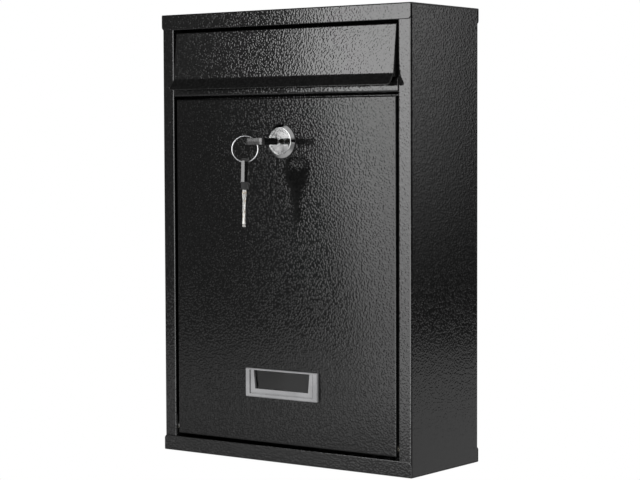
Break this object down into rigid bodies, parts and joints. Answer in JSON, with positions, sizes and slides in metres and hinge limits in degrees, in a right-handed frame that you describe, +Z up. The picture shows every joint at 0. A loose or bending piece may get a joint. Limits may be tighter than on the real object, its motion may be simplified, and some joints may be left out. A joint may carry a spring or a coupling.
{
  "type": "wall mounted mailbox",
  "caption": "Wall mounted steel mailbox with a lift-up slot flap, a drop-down door with a cam lock, a key and a spare key on a ring, and a name plate holder.",
  "frame": {"origin": "centre of the four wall screw holes, on the outer face of the back panel", "axes": "+Z up, +Y into the wall, the front faces -Y, +X to the right of someone facing the front"},
  "size_m": [0.22, 0.1245, 0.321],
  "materials": {
    "black_paint": "hammered powder coat, semi-gloss",
    "zinc_steel": "zinc plated",
    "lock_chrome": "polished",
    "key_metal": "nickel plated",
    "key_plastic": "satin moulded",
    "ring_steel": "bright drawn wire",
    "holder_plastic": "satin moulded",
    "window_clear": "clear sheet",
    "card_paper": "blank dark card"
  },
  "bodies": {
    "case": {"case_wrap": "black_paint", "top_cap": "black_paint", "bottom_tray": "black_paint", "slot_rail": "black_paint", "flap_bracket_left": "black_paint", "flap_bracket_right": "black_paint", "flap_hinge_rod": "black_paint", "door_bracket_left": "black_paint", "door_bracket_right": "black_paint", "door_pin_left": "zinc_steel", "door_pin_right": "zinc_steel"},
    "flap": {"flap": "black_paint"},
    "door": {"door_panel": "black_paint", "lock_housing": "lock_chrome", "lock_nut": "zinc_steel", "name_frame": "holder_plastic", "name_window": "window_clear", "name_card": "card_paper"},
    "lock": {"lock_plug": "lock_chrome", "lock_cam": "zinc_steel", "cam_washer": "zinc_steel", "cam_screw": "zinc_steel"},
    "key": {"key_blade": "key_metal", "key_head": "key_plastic"},
    "key_ring": {"key_ring": "ring_steel"},
    "spare_key": {"spare_key_blade": "key_metal", "spare_key_head": "key_plastic"}
  },
  "joints": [
    {"name": "flap_hinge", "type": "hinge", "parent": "case", "child": "flap", "pos_m": [0, -0.0804, 0.14215], "axis": [-1, 0, 0], "range_deg": [0, 100]},
    {"name": "door_hinge", "type": "hinge", "parent": "case", "child": "door", "pos_m": [0, -0.0786, -0.1425], "axis": [1, 0, 0], "range_deg": [0, 97]},
    {"name": "lock_turn", "type": "hinge", "parent": "door", "child": "lock", "pos_m": [0, -0.0867, 0.0677], "axis": [0, 1, 0], "range_deg": [0, 90]},
    {"name": "key_slide", "type": "slide", "parent": "lock", "child": "key", "axis": [0, -1, 0], "range_m": [0, 0.022]},
    {"name": "ring_swing", "type": "hinge", "parent": "key", "child": "key_ring", "pos_m": [-0.00672, -0.11462, 0.0677], "axis": [0.5948, -0.8039, 0], "range_deg": [-25, 15]},
    {"name": "spare_swing", "type": "hinge", "parent": "key_ring", "child": "spare_key", "pos_m": [-0.00792, -0.11551, 0.05342], "axis": [0.8039, 0.5948, 0], "range_deg": [-30, 20]}
  ]
}
